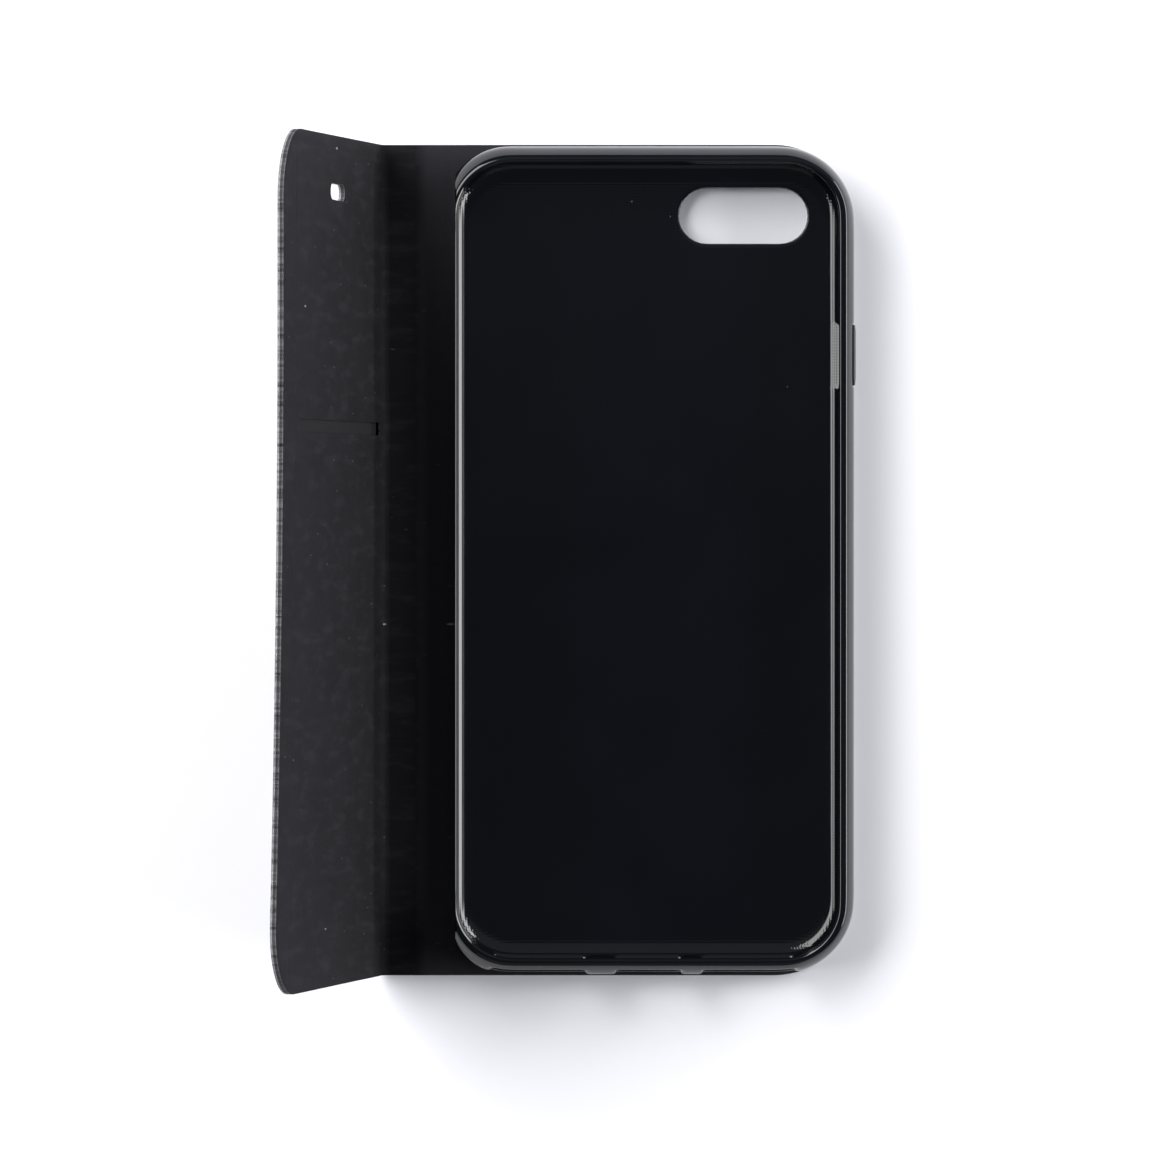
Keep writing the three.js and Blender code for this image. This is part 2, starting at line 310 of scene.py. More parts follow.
def tape_material():
    """The pale double-sided tape under the shell."""
    m = Nodes("tape", Specular_IOR_Level=0.3)
    grain = m.noise(object_vector(m), 1500.0)
    colour = m.mix(grain, (0.55, 0.53, 0.46, 1.0), (0.66, 0.63, 0.56, 1.0))
    return m.finish(Base_Color=colour, Roughness=m.remap(grain, 0.0, 1.0, 0.45, 0.7),
                    Normal=m.bump(grain, 0.02 * MM, 0.4))


def table_material():
    """A plain pale table top, a little cool in its tone."""
    m = Nodes("table", Specular_IOR_Level=0.2)
    tone = m.noise(object_vector(m), 6.0)
    colour = m.mix(tone, (0.860, 0.855, 0.895, 1.0), (0.875, 0.870, 0.910, 1.0))
    return m.finish(Base_Color=colour, Roughness=m.remap(tone, 0.0, 1.0, 0.6, 0.75))


# ---------------------------------------------------------------- building meshes
def add_object(name, mesh_data, materials):
    made = bpy.data.objects.new(name, mesh_data)
    bpy.context.scene.collection.objects.link(made)
    for material in materials:
        made.data.materials.append(material)
    return made


def to_mesh(name, built):
    """A mesh from finished bmesh data, with its faces turned outward."""
    bmesh.ops.delete(built, geom=[v for v in built.verts if not v.link_faces], context="VERTS")
    bmesh.ops.recalc_face_normals(built, faces=built.faces)
    data = bpy.data.meshes.new(name)
    built.to_mesh(data)
    built.free()
    return data


def smooth_by_angle(made, degrees):
    """Smooth shading with sharp edges where faces meet at more than an angle."""
    made.data.polygons.foreach_set("use_smooth", [True] * len(made.data.polygons))
    made.data.set_sharp_from_angle(angle=math.radians(degrees))


def bridge(built, upper, lower):
    """Faces between two closed rings of as many points."""
    for k in range(len(upper)):
        after = (k + 1) % len(upper)
        built.faces.new([upper[k], upper[after], lower[after], lower[k]])


def arc_points(centre, radius, start, end, steps):
    """Points on an arc, with angles in degrees."""
    points = []
    for step in range(steps + 1):
        angle = math.radians(start + (end - start) * step / steps)
        points.append(centre + radius * Vector((math.cos(angle), math.sin(angle))))
    return points


def spread(low, high, step):
    """Evenly spaced numbers from low to high, no further apart than step."""
    count = max(1, math.ceil((high - low) / step))
    return [low + (high - low) * index / count for index in range(count + 1)]


def stadium(centre, length, width, steps=14, straights=1):
    """A slot with round ends, going round anticlockwise, with its straight sides in a number of
    steps."""
    radius = width / 2
    reach = Vector((length / 2 - radius, 0))
    between = [reach * (2 * k / straights - 1) for k in range(1, straights)]
    up = Vector((0, radius))
    return (arc_points(centre + reach, radius, -90, 90, steps)
            + [centre + up - shift for shift in between]
            + arc_points(centre - reach, radius, 90, 270, steps)
            + [centre - up + shift for shift in between])


def rectangle(left, bottom, right, top, step):
    """A rectangle going round anticlockwise, with points along its sides."""
    across, up = spread(left, right, step), spread(bottom, top, step)
    outline = [Vector((x, bottom)) for x in across[:-1]]
    outline += [Vector((right, y)) for y in up[:-1]]
    outline += [Vector((x, top)) for x in across[:0:-1]]
    outline += [Vector((left, y)) for y in up[:0:-1]]
    return outline


def inside(point, polygon):
    """Whether a point is inside a closed polygon."""
    within = False
    before = polygon[-1]
    for here in polygon:
        if (here.y > point.y) != (before.y > point.y):
            share = (point.y - here.y) / (before.y - here.y)
            if point.x < here.x + share * (before.x - here.x):
                within = not within
        before = here
    return within


def in_region(point, outline, holes, gap):
    """Whether a point is on the material and not crowding the points of an edge."""
    if not inside(point, outline) or any(inside(point, hole) for hole in holes):
        return False
    return all((point - other).length > gap for loop in (outline, *holes) for other in loop)


def triangulate(outline, holes, extra):
    """Points and triangles of a flat region with holes and extra points inside it."""
    points, edges = [], []
    for loop in (outline, *holes):
        first = len(points)
        points += loop
        edges += [(first + k, first + (k + 1) % len(loop)) for k in range(len(loop))]
    within_constraints = 1
    made = delaunay_2d_cdt(points + extra, edges, [], within_constraints, 1e-7)
    kept = []
    for face in made[2]:
        centre = sum((made[0][corner] for corner in face), Vector((0, 0))) / 3
        if not any(inside(centre, hole) for hole in holes):
            kept.append(tuple(face))
    return made[0], kept


def rim_edges(triangles):
    """The edges that only one triangle has, in its direction of turning."""
    pairs = {(t[k], t[(k + 1) % 3]) for t in triangles for k in range(3)}
    return sorted((a, b) for a, b in pairs if (b, a) not in pairs)


# ---------------------------------------------------------------- the cover's sheets
# Distances along X on a sheet run from its fold, and those along Y from the middle of the cover.
GRID_STEP = 2.2 * MM
FOLD_TANGENT = 1.7 * MM
FOLD_STOPS = [k * 0.2 * MM for k in range(-10, 11)]

# The crease pressed along a fold, and the line pressed round the flap inside its edges.
CREASE_DEPTH = 0.05 * MM
CREASE_HALF = 1.0 * MM
BORDER_FREE = 8 * MM
BORDER_ENDS = 2.4 * MM
BORDER_HALF = 0.8 * MM
BORDER_DEPTH = 0.03 * MM
BORDER_STOPS = [k * BORDER_HALF / 2 for k in range(-2, 3)]

# At a cut edge the outer face drops by the ease, within a ring of this width.
EDGE_EASE = 0.09 * MM
EDGE_RING = 0.4 * MM

# How far the flap stands off a plane, and how far its lining gapes at the card slot.
TWIST = 0.76 * MM
BOW = -0.59 * MM
WAVE = 0.09 * MM
WAVES_ACROSS, WAVES_UP, WAVE_SEED = 26, 22, 4
STIFF_START = 3 * MM
MOUTH_LIFT = 0.36 * MM
MOUTH_REACH = 7 * MM


def back_path(s):
    """Middle surface of the cover along X from the spine fold: its place and its normal."""
    return Vector((SPINE_FOLD.x + s, COVER_MIDDLE)), Vector((0, 1))


def flap_path(s):
    """Middle surface from the flap fold: s > 0 is spine and s < 0 is flap, with an arc between."""
    corner = Vector((FLAP_FOLD.x, COVER_MIDDLE))
    if s >= FOLD_TANGENT:
        return corner + Vector((s, 0)), Vector((0, 1))
    along = Vector((-math.cos(FLAP_ANGLE), math.sin(FLAP_ANGLE)))
    if s <= -FOLD_TANGENT:
        return corner + along * -s, Vector((along.y, -along.x))
    radius = FOLD_TANGENT / math.tan(FLAP_ANGLE / 2)
    centre = corner + Vector((FOLD_TANGENT, radius))
    turn = FLAP_ANGLE * (FOLD_TANGENT - s) / (2 * FOLD_TANGENT)
    normal = Vector((math.sin(turn), math.cos(turn)))
    return centre - normal * radius, normal


def no_warp(s, y):
    """For a sheet that lies true, or a layer that nothing lifts."""
    return 0.0


def flap_warp(s, y):
    """How far the flap stands off a true plane: a twist, a bow and soft waves."""
    share = min(1, max(0, -s - STIFF_START) / (FLAP_LENGTH - STIFF_START))
    up = y / HALF_HEIGHT
    wave = noise.noise(Vector((s * WAVES_ACROSS, y * WAVES_UP, WAVE_SEED)))
    return share * (TWIST * up + BOW * up * up) + WAVE * wave * min(1, 4 * share)


def mouth_lift(s, y):
    """The lining stands off the board at the end of the card slot, where the pocket opens."""
    away = Vector((s + CARD_SLOT["from_fold"], y - SLOT_Y)).length / MOUTH_REACH
    return MOUTH_LIFT * (1 - away ** 2) ** 2 if away < 1 else 0.0


def groove(distance, half, depth):
    """A rounded pressed line."""
    reach = min(1, abs(distance) / half)
    return -depth * (1 - reach) ** 2 * (1 + 2 * reach)


def crease(s, y):
    """The line pressed along the fold."""
    return groove(s, CREASE_HALF, CREASE_DEPTH)


def crease_and_border(s, y):
    """The fold's crease and the pressed line round the flap, where lining and board are bonded."""
    depth = crease(s, y)
    ends = HALF_HEIGHT - BORDER_ENDS
    free = FLAP_LENGTH - BORDER_FREE
    if -free < s < -BORDER_ENDS:
        depth += groove(abs(y) - ends, BORDER_HALF, BORDER_DEPTH)
    if abs(y) < ends:
        depth += groove(s + free, BORDER_HALF, BORDER_DEPTH)
    return depth


class Sheet:
    """One run of the cover across a fold, from a joint in the spine to a free edge."""

    def __init__(self, joint, free, path, warp, corner):
        self.joint = joint
        self.free = free
        self.path = path
        self.warp = warp
        self.corner = corner

    def outline(self, near, far, stops):
        """The outline between two distances from the fold, with rounded corners at the free edge."""
        side = 1 if self.free > 0 else -1
        reach = side * (far - side * self.corner)
        across = sorted(side * s for s in stops if side * near < side * s < reach)
        high = HALF_HEIGHT - self.corner
        loop = [Vector((side * near, -HALF_HEIGHT))]
        loop += [Vector((s, -HALF_HEIGHT)) for s in across]
        loop += arc_points(Vector((reach, -high)), self.corner, -90, 0, 16)
        loop += [Vector((reach + self.corner, y)) for y in spread(-high, high, GRID_STEP)[1:-1]]
        loop += arc_points(Vector((reach, high)), self.corner, 0, 90, 16)
        loop += [Vector((s, HALF_HEIGHT)) for s in reversed(across)]
        loop += [Vector((side * near, y)) for y in spread(-HALF_HEIGHT, HALF_HEIGHT, GRID_STEP)[:0:-1]]
        if side < 0:
            loop = [Vector((-point.x, point.y)) for point in reversed(loop)]
        return loop


def inset_points(outline, gap):
    """Points a little inside an anticlockwise outline."""
    points = []
    for before, here, after in zip(outline[-1:] + outline[:-1], outline, outline[1:] + outline[:1]):
        along = (after - before).normalized()
        points.append(here + gap * Vector((-along.y, along.x)))
    return points


def flat_cut(sheet, near, far, holes, bordered):
    """The points and triangles of a layer as it lies flat, between two distances from the fold."""
    low, high = min(near, far), max(near, far)
    pressed = BORDER_STOPS if bordered else []
    stops = spread(low, high, GRID_STEP) + FOLD_STOPS
    stops += [BORDER_FREE - FLAP_LENGTH + k for k in pressed]
    stops = sorted(s for s in stops if low <= s <= high)
    lines = spread(-HALF_HEIGHT, HALF_HEIGHT, GRID_STEP)
    lines += [side * (HALF_HEIGHT - BORDER_ENDS + k) for side in (-1, 1) for k in pressed]
    if far == sheet.free:
        outline = sheet.outline(near, far, stops)
    else:
        outline = rectangle(low, -HALF_HEIGHT, high, HALF_HEIGHT, GRID_STEP)
    ring = inset_points(outline, EDGE_RING)
    grid = [Vector((s, y)) for s in stops for y in lines]
    extra = [p for p in ring if in_region(p, outline, holes, EDGE_RING / 2)]
    extra += [p for p in grid if in_region(p, outline, holes, EDGE_RING * 1.5)]
    return triangulate(outline, list(holes), extra)


def add_face(built, verts, flat, places, material=0):
    """A face with its places on the flat cut."""
    face = built.faces.new(verts)
    face.material_index = material
    for loop, place in zip(face.loops, places):
        loop[flat].uv = place


def layer(name, sheet, heights, materials, near=None, far=None, holes=(), marks=None, lift=no_warp):
    """A closed layer of the cover between two heights above the middle surface.
    Marks are pressed into its outer face, and lift raises the whole of it."""
    near = sheet.joint if near is None else near
    far = sheet.free if far is None else far
    points, triangles = flat_cut(sheet, near, far, holes, marks is crease_and_border)
    rim = rim_edges(triangles)
    eased = {k for pair in rim for k in pair if abs(points[k].x - sheet.joint) > EDGE_RING}
    built = bmesh.new()
    flat = built.loops.layers.uv.new("flat")
    under, over = [], []
    for height, side, row in ((heights[0], -1, under), (heights[1], 1, over)):
        marked = marks and math.isclose(abs(height), COVER_HALF, rel_tol=0.01)
        for index, point in enumerate(points):
            place, normal = sheet.path(point.x)
            rise = height + sheet.warp(*point) + lift(*point)
            if marked:
                rise += side * (marks(*point) - (EDGE_EASE if index in eased else 0))
            place = place + normal * rise
            row.append(built.verts.new((place.x, point.y, place.y)))
    for triangle in triangles:
        for row, order in ((over, triangle), (under, triangle[::-1])):
            add_face(built, [row[k] for k in order], flat, [points[k] for k in order])
    thickness = heights[1] - heights[0]
    for first, second in rim:
        start = points[first].x + points[first].y
        end = start + (points[second] - points[first]).length
        places = ((start, 0), (end, 0), (end, thickness), (start, thickness))
        add_face(built, [under[first], under[second], over[second], over[first]], flat, places, 1)
    made = add_object(name, to_mesh(name, built), materials)
    smooth_by_angle(made, 40)
    return made


# ---------------------------------------------------------------- the moulded shell
# Insets run inward from the outline. The rows of the wall's section are heights where a curve
# gives the inset, and (inset, height) where none does. In the lip they are (inset, drop from the
# top). The openings lie between window rows, and the power key's between two of those.
FLOOR_INSET = 5.8 * MM
FOOT_INSET = WALL + CAVITY_RADIUS
UNDERSIDE = [(FLOOR_INSET, 0), (2.6 * MM, 0), (1.5 * MM, 0), (1.12 * MM, 0.03 * MM)]
FOOT_ROWS = [0.25 * MM, 0.9 * MM, 1.6 * MM]
WINDOW_ROWS = [2.45 * MM, 3.07 * MM, 4.75 * MM, 6.43 * MM, 7.3 * MM]
BUTTON_ROWS = (1, 3)
SHOULDER_ROWS = [8.0 * MM, 8.35 * MM, 8.65 * MM]
LIP_OUTSIDE = [(1.33 * MM, 0.24 * MM), (1.50 * MM, 0.07 * MM), (1.72 * MM, 0), (1.93 * MM, 0)]
LIP_INSIDE = [(2.08 * MM, 0.03 * MM), (2.24 * MM, 0.14 * MM), (2.42 * MM, 0.28 * MM),
              (2.48 * MM, 0.5 * MM)]
FILLET_ROWS = [2.0 * MM, 1.7 * MM, 1.45 * MM, 1.2 * MM]

# Columns stand this far to each side of an opening's end, to keep its corners tight.
WINDOW_EASE = 1.3 * MM
BUTTON_EASE = 1.1 * MM
BUTTON_GAP = 0.08 * MM

# Other columns stand at most a step apart, and a gap away from a corner or an opening.
LONG_GAP, LONG_STEP = 4 * MM, 16 * MM
SHORT_GAP, SHORT_STEP = 3 * MM, 12 * MM

# The hollow behind the power key.
RECESS_EASE = 0.5 * MM
RECESS_DEPTH = 0.6 * MM
RECESS_TOP = 1.95 * MM
RECESS_SLOPE = math.tan(math.radians(24))

# Where the wall departs from the same section all round.
CUT_MARGIN = 0.14 * MM
CUT_EASE = 0.08 * MM
END_SHOULDER = 0.65 * MM
END_THICKER = 0.5 * MM
LIP_WIDER = 0.35 * MM
CORNER_SWELL = 0.42 * MM
RIGHT_CORNER_SHARE = 0.55
SHOULDER_FOOT = 5.2 * MM


def cavity_row(z):
    """The cavity's wall at a height: (inset from the outline, height)."""
    inset = FOOT_INSET - math.sqrt(CAVITY_RADIUS ** 2 - (z - CAVITY_MIDDLE) ** 2)
    return (min(inset, LIP_INSET) if z > CAVITY_MIDDLE else inset, z)


def bulge_row(z):
    """The outer wall at a height."""
    return (BULGE_RADIUS - math.sqrt(BULGE_RADIUS ** 2 - (z - BULGE_MIDDLE) ** 2), z)


def shell_profile():
    """The section of the wall, from the underside out, up, over the lip and down inside to the
    floor. It also says which rows start the outer openings, the lip's inside and the cavity."""
    rows = UNDERSIDE + [bulge_row(z) for z in FOOT_ROWS]
    outer = len(rows)
    rows += [bulge_row(z) for z in WINDOW_ROWS + SHOULDER_ROWS]
    rows += [(inset, SHELL_DEPTH - drop) for inset, drop in LIP_OUTSIDE]
    crest = len(rows)
    rows += [(inset, SHELL_DEPTH - drop) for inset, drop in LIP_INSIDE]
    inner = len(rows)
    rows += [cavity_row(z) for z in WINDOW_ROWS[::-1] + FILLET_ROWS]
    rows += [(FOOT_INSET, FLOOR), (FLOOR_INSET, FLOOR)]
    return rows, outer, crest, inner


def recessed(inset, z):
    """The cavity's wall behind the power key, set back over a straight ramp."""
    if z <= FLOOR:
        return inset
    if z < RECESS_TOP:
        return min(inset, LIP_INSET + (RECESS_TOP - z) / RECESS_SLOPE)
    return inset - RECESS_DEPTH


class Column:
    """One place round the outline, where the section of the wall stands."""

    def __init__(self, centre, angle):
        turn = math.radians(angle)
        self.centre = centre
        self.direction = Vector((math.cos(turn), math.sin(turn)))
        self.outer = centre + self.direction * SHELL_CORNER

    def behind_button(self):
        return self.direction.x > 0.99 and abs(self.outer.y - BUTTON_Y) < BUTTON_HALF + RECESS_EASE / 2

    def shift_outside(self, z):
        """How far the outer wall stands in here: the left corners are fuller, the right ones
        rounder, and the end walls have a softer shoulder."""
        share = max(0, (z - SHOULDER_FOOT) / (SHELL_DEPTH - SHOULDER_FOOT)) ** 2
        side = self.direction.x if self.direction.x < 0 else self.direction.x * RIGHT_CORNER_SHARE
        swell = -CORNER_SWELL * 2 * side * abs(self.direction.y)
        return END_SHOULDER * self.direction.y ** 2 * share - swell * (1 - share)

    def shift_inside(self, on_lip):
        """How far the inner wall stands in here: the end walls are thicker and the right lip wider."""
        lip = LIP_WIDER * max(0, self.direction.x) ** 2 if on_lip else 0
        return END_THICKER * self.direction.y ** 2 + lip


def around(centre, half, ease):
    """Places at the ends of an opening and a little to each side of them."""
    return [centre + sign * (half + shift) for sign in (-1, 1) for shift in (-ease, 0, ease)]


def shell_columns():
    """The columns, anticlockwise from the right end of the top right corner. A bottom window that
    reaches into a corner ends on one of the corner's own columns."""
    flat_x = SHELL_HALF_X - SHELL_CORNER
    flat_y = SHELL_HALF_Y - SHELL_CORNER
    hole = BUTTON_HALF + BUTTON_GAP
    right = around(BUTTON_Y, hole, BUTTON_EASE) + [BUTTON_Y]
    right += [BUTTON_Y + sign * (hole + RECESS_EASE) for sign in (-1, 1)]
    right += spread(LONG_GAP - flat_y, BUTTON_Y - hole - LONG_GAP, LONG_STEP)
    right += spread(BUTTON_Y + hole + LONG_GAP, flat_y - LONG_GAP, LONG_STEP)
    bottom = []
    for centre, length in BOTTOM_WINDOWS:
        bottom += around(centre, length / 2, WINDOW_EASE) + [centre]
    bottom = [place for place in bottom if abs(place) < flat_x - WINDOW_EASE]
    top = spread(SHORT_GAP - flat_x, flat_x - SHORT_GAP, SHORT_STEP)
    left = spread(SHORT_GAP - flat_y, flat_y - SHORT_GAP, SHORT_STEP)
    corners = ((flat_x, flat_y), (-flat_x, flat_y), (-flat_x, -flat_y), (flat_x, -flat_y))
    sides = (("top", sorted(top)[::-1]), ("left", sorted(left)[::-1]),
             ("bottom", sorted(bottom)), ("right", sorted(right)))
    columns = []
    for quarter, ((x, y), (side, places)) in enumerate(zip(corners, sides)):
        start = 90 * quarter
        columns += [Column(Vector((x, y)), start + 9 * step) for step in range(11)]
        for place in places:
            centre = Vector((place, y)) if side in ("top", "bottom") else Vector((x, place))
            columns.append(Column(centre, start + 90))
    return columns


def opening_between(first, second):
    """Which opening the strip between two neighbouring columns belongs to."""
    middle = (first.outer + second.outer) / 2
    if middle.y < WALL - SHELL_HALF_Y:
        if any(abs(middle.x - centre) < length / 2 for centre, length in BOTTOM_WINDOWS):
            return "window"
    if middle.x > SHELL_HALF_X - WALL and abs(middle.y - BUTTON_Y) < BUTTON_HALF:
        return "button"
    return None


def section_at(column, rows, crest, inner):
    """Where the rows of the section lie at one column."""
    places = []
    for index, (inset, z) in enumerate(rows):
        if column.behind_button() and index >= inner:
            inset = recessed(inset, z)
        inset += column.shift_outside(z) if index < crest else column.shift_inside(index < inner)
        flat = column.centre + column.direction * (SHELL_CORNER - inset)
        places.append((flat.x, flat.y, z))
    return places


def shell_cage():
    """The wall as a coarse cage, with its windows left open and lined."""
    rows, outer, crest, inner = shell_profile()
    columns = shell_columns()
    count = len(columns)
    last = len(WINDOW_ROWS) - 1
    spans = {"window": (0, last), "button": BUTTON_ROWS}
    kinds = [opening_between(columns[k], columns[(k + 1) % count]) for k in range(count)]
    cage = bmesh.new()
    sections = [section_at(column, rows, crest, inner) for column in columns]
    grid = [[cage.verts.new(place) for place in section] for section in sections]
    for index, kind in enumerate(kinds):
        here, after = grid[index], grid[(index + 1) % count]
        low, high = spans.get(kind, (0, 0))
        cut = {outer + row for row in range(low, high)}
        cut |= {inner + last - 1 - row for row in range(low, high)}
        for row in range(len(rows) - 1):
            if row not in cut:
                face = cage.faces.new([here[row], after[row], after[row + 1], here[row + 1]])
                face.material_index = 1 if row >= inner else 0
        if not kind:
            continue
        for row in (low, high):
            out, back = outer + row, inner + last - row
            cage.faces.new([here[out], after[out], after[back], here[back]])
        for beyond, line in ((kinds[index - 1], here), (kinds[(index + 1) % count], after)):
            if beyond != kind:
                for row in range(low, high):
                    out, back = outer + row, inner + last - row
                    cage.faces.new([line[out], line[out + 1], line[back - 1], line[back]])
    bmesh.ops.recalc_face_normals(cage, faces=cage.faces)
    return cage


def smoothed(cage, levels):
    """The cage after a few rounds of subdivision."""
    data = bpy.data.meshes.new("cage")
    cage.to_mesh(data)
    cage.free()
    carrier = bpy.data.objects.new("cage", data)
    bpy.context.scene.collection.objects.link(carrier)
    smoother = carrier.modifiers.new("smooth", "SUBSURF")
    smoother.levels = levels
    depsgraph = bpy.context.evaluated_depsgraph_get()
    dense = bpy.data.meshes.new_from_object(carrier.evaluated_get(depsgraph))
    bpy.data.objects.remove(carrier)
    built = bmesh.new()
    built.from_mesh(dense)
    return built


def boundary_loop(edges):
    """The points of one closed loop of edges, in order."""
    pool = set(edges)
    start = edges[0].verts[0]
    edge, here = edges[0], edges[0].other_vert(start)
    loop = [start]
    while here is not start:
        loop.append(here)
        edge = next(e for e in here.link_edges if e in pool and e is not edge)
        here = edge.other_vert(here)
    return loop


# The eased rim of the camera opening, as (how much wider, height).
CAMERA_RIM = [(0.22 * MM, FLOOR), (0.1 * MM, FLOOR - 0.05 * MM), (0.02 * MM, FLOOR - 0.17 * MM),
              (0.0, FLOOR - 0.35 * MM), (0.0, 0.0)]
FLOOR_STEP = 4 * MM


def camera_ring(grow):
    """The outline of the camera opening, made wider all round."""
    return stadium(CAMERA_HOLE, CAMERA_LENGTH + 2 * grow, CAMERA_WIDTH + 2 * grow, straights=20)


def add_floor(wall):
    """The floor plate, with its two faces and the rim of the camera opening. Its edge takes the
    wall's points, rounded to a micrometre so that straight runs are truly straight."""
    open_edges = [e for e in wall.edges if e.is_boundary]
    for grow, level in (CAMERA_RIM[0], CAMERA_RIM[-1]):
        loop = boundary_loop([e for e in open_edges if abs(e.verts[0].co.z - level) < 0.05 * MM])
        for vert in loop:
            vert.co = (round(vert.co.x, 6), round(vert.co.y, 6), level)
        outline = [vert.co.xy for vert in loop]
        hole = camera_ring(grow)
        across, up = spread(-26 * MM, 26 * MM, FLOOR_STEP), spread(-62 * MM, 62 * MM, FLOOR_STEP)
        grid = [Vector((x, y)) for x in across for y in up]
        collar = camera_ring(grow + 0.5 * MM)
        extra = [p for p in grid if in_region(p, outline, [collar], 1 * MM)] + collar
        points, triangles = triangulate(outline, [hole], extra)
        row = [wall.verts.new((p.x, p.y, level)) for p in points]
        for triangle in triangles:
            face = wall.faces.new([row[k] for k in triangle])
            face.material_index = 1 if level else 0
    rings = []
    for grow, z in CAMERA_RIM:
        rings.append([wall.verts.new((p.x, p.y, z)) for p in camera_ring(grow)])
    for upper, lower in zip(rings, rings[1:]):
        bridge(wall, upper, lower)
    bmesh.ops.remove_doubles(wall, verts=wall.verts, dist=0.002 * MM)


def trim_left(wall):
    """Cuts the left side flat, where the cover folds round it, and eases the lip's cut edge."""
    plane = LEFT_CUT + CUT_MARGIN - SHELL_HALF_X
    foot = SHELL_DEPTH - 0.5 * MM
    for vert in wall.verts:
        run = max(0, vert.co.x - plane)
        if vert.co.z > foot and run < CUT_EASE:
            drop = CUT_EASE - math.sqrt(CUT_EASE ** 2 - (CUT_EASE - run) ** 2)
            vert.co.z -= drop * (vert.co.z - foot) / (SHELL_DEPTH - foot)
    geometry = wall.verts[:] + wall.edges[:] + wall.faces[:]
    bmesh.ops.bisect_plane(wall, geom=geometry, dist=1e-7, plane_co=(plane, 0, 0),
                           plane_no=(-1, 0, 0), clear_outer=True)
    open_edges = [e for e in wall.edges if e.is_boundary]
    bmesh.ops.triangle_fill(wall, use_beauty=True, edges=open_edges, normal=(-1, 0, 0))
    bmesh.ops.remove_doubles(wall, verts=wall.verts, dist=0.001 * MM)


def shell_mesh(name):
    """The whole moulding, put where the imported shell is."""
    wall = smoothed(shell_cage(), 2)
    add_floor(wall)
    trim_left(wall)
    bmesh.ops.translate(wall, verts=wall.verts, vec=(PHONE_X, 0, SHELL_Z))
    return to_mesh(name, wall)


# The rings of the power key's pad, as (height above the wall, inset from its edge).
PAD_RINGS = [(-0.75 * MM, 0), (-0.04 * MM, 0), (0.02 * MM, 0.1 * MM), (0.05 * MM, 0.3 * MM),
             (0.09 * MM, 0.6 * MM), (0.13 * MM, 0.95 * MM), (0.15 * MM, 1.4 * MM)]


def button_mesh(name):
    """The pad over the power key: a soft low mound that follows the bulge of the wall."""
    middle = Vector((BUTTON_Y, (BUTTON_LOW.z + BUTTON_HIGH.z) / 2))
    half_z = (BUTTON_HIGH.z - BUTTON_LOW.z) / 2
    pad = bmesh.new()
    rings = []
    for rise, inset in PAD_RINGS:
        line = []
        for point in stadium(middle, 2 * (BUTTON_HALF - inset), 2 * (half_z - inset)):
            wall_inset = bulge_row(point.y - SHELL_Z)[0]
            line.append(pad.verts.new((SHELL_HIGH.x - wall_inset + rise, point.x, point.y)))
        rings.append(line)
    for upper, lower in zip(rings, rings[1:]):
        bridge(pad, upper, lower)
    pad.faces.new(rings[0])
    pad.faces.new(rings[-1])
    return to_mesh(name, pad)


# ---------------------------------------------------------------- making the pieces
leather = leather_material()
# The two linings differ in painted light and shade: the flap's darker towards its fold, the back's
# paler beside the shell.
lining_of_flap = lining_material("lining_of_flap", 0.022, painted_light_full_at=-60 * MM, painted_light_start_at=0.0)
lining_of_back = lining_material("lining_of_back", 0.065, painted_light_full_at=-4 * MM, painted_light_start_at=-SPINE_MIDDLE)
board_face = board_material()
leather_cut = cut_edge_material("leather_cut", 0.07, 0.36)
board_cut = cut_edge_material("board_cut", 0.004, 0.09)
lining_cut = cut_edge_material("lining_cut", 0.02, 0.17)
gloss = shell_material("moulded_gloss", dotted=False)
gloss_inside = shell_material("moulded_gloss_inside", dotted=True)

back_sheet = Sheet(joint=-SPINE_MIDDLE, free=BACK_WIDTH, path=back_path, warp=no_warp,
                   corner=BACK_CORNER)
flap_sheet = Sheet(joint=SPINE_MIDDLE, free=-FLAP_LENGTH, path=flap_path, warp=flap_warp,
                   corner=FLAP_CORNER)

camera_place = CAMERA_HOLE + Vector((PHONE_X - SPINE_FOLD.x, 0))
camera_cut = stadium(camera_place, CAMERA_LENGTH, CAMERA_WIDTH)
ear_place = Vector((-EARPIECE["from_fold"], HALF_HEIGHT - EARPIECE["from_top"]))
ear_cut = stadium(ear_place, EARPIECE["length"], EARPIECE["width"], 8)
SLOT_STEP = 1.1 * MM
SLOT_TOP = SLOT_Y + CARD_SLOT["width"] / 2
slot_cut = rectangle(-CARD_SLOT["from_fold"] - CARD_SLOT["length"], SLOT_TOP - CARD_SLOT["width"],
                     -CARD_SLOT["from_fold"], SLOT_TOP, SLOT_STEP)
pocket_near = -CARD_SLOT["from_fold"] + (POCKET["length"] - CARD_SLOT["length"]) / 2
pocket_top = SLOT_Y + CARD_SLOT["width"]
pocket_cut = rectangle(pocket_near - POCKET["length"], pocket_top - POCKET["depth"],
                       pocket_near, pocket_top, GRID_STEP)

